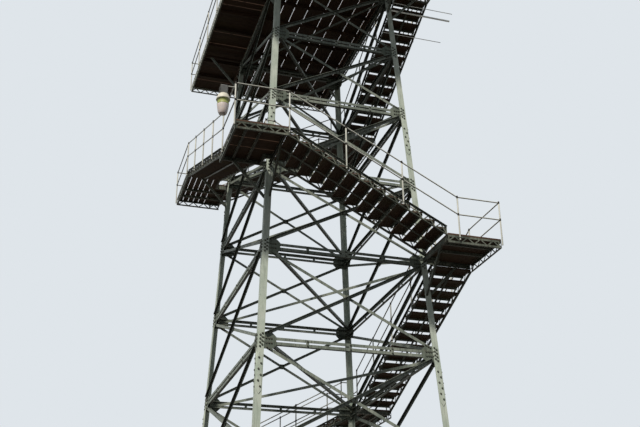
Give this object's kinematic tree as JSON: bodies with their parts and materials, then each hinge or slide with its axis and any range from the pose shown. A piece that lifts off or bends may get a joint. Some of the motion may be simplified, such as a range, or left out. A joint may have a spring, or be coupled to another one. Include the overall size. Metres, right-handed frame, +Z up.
{
  "type": "fire lookout tower",
  "caption": "Open lookout tower: a tapering lattice frame of steel angles, with a stair of wooden treads round its outside and a railed platform on top.",
  "frame": {"origin": "middle of the ground that the tower covers, at the underside of its foot plates", "axes": "+Z up; -Y is the front, the face that the first flight climbs; +X is to the right seen from the front"},
  "size_m": [7.8914, 11.0604, 21.378],
  "materials": {
    "frame_paint": "matt, pale grey-green, weathered",
    "plate_paint": "matt, grey-green, weathered",
    "stair_paint": "matt, grey-green",
    "rail_paint": "matt, pale grey",
    "old_boards": "rough, stained dark brown",
    "lamp_shell": "satin, white",
    "lamp_cup": "cloudy, translucent",
    "tube_steel": "galvanised, dull"
  },
  "bodies": {
    "root": {"foot_plates": "plate_paint", "leg_front_left": "frame_paint", "leg_back_left": "frame_paint", "leg_back_right": "frame_paint", "leg_front_right": "frame_paint", "ring_1": "frame_paint", "ring_2": "frame_paint", "ring_3": "frame_paint", "ring_4": "frame_paint", "ring_5": "frame_paint", "ring_6": "frame_paint", "ring_7": "frame_paint", "ring_8": "frame_paint", "braces_front": "frame_paint", "braces_left": "frame_paint", "braces_back": "frame_paint", "braces_right": "frame_paint", "gusset_plates": "plate_paint", "stringers_front": "stair_paint", "stringers_left": "stair_paint", "stringers_back": "stair_paint", "stringers_right": "stair_paint", "treads_front": "old_boards", "treads_left": "old_boards", "treads_back": "old_boards", "treads_right": "old_boards", "landing_frame_front_left": "stair_paint", "landing_frame_back_left": "stair_paint", "landing_frame_back_right": "stair_paint", "landing_frame_front_right": "stair_paint", "landing_boards": "old_boards", "flight_rails_front": "rail_paint", "flight_rails_left": "rail_paint", "flight_rails_back": "rail_paint", "flight_rails_right": "rail_paint", "landing_rails_front_left": "rail_paint", "landing_rails_back_left": "rail_paint", "landing_rails_back_right": "rail_paint", "landing_rails_front_right": "rail_paint", "platform_edges": "stair_paint", "platform_joists": "old_boards", "platform_boards": "old_boards", "platform_braces": "frame_paint", "platform_rails": "rail_paint", "lamp_bracket": "rail_paint", "lamp_housing": "lamp_shell", "lamp_bowl": "lamp_cup", "outrigger_tubes": "tube_steel"}
  },
  "joints": []
}
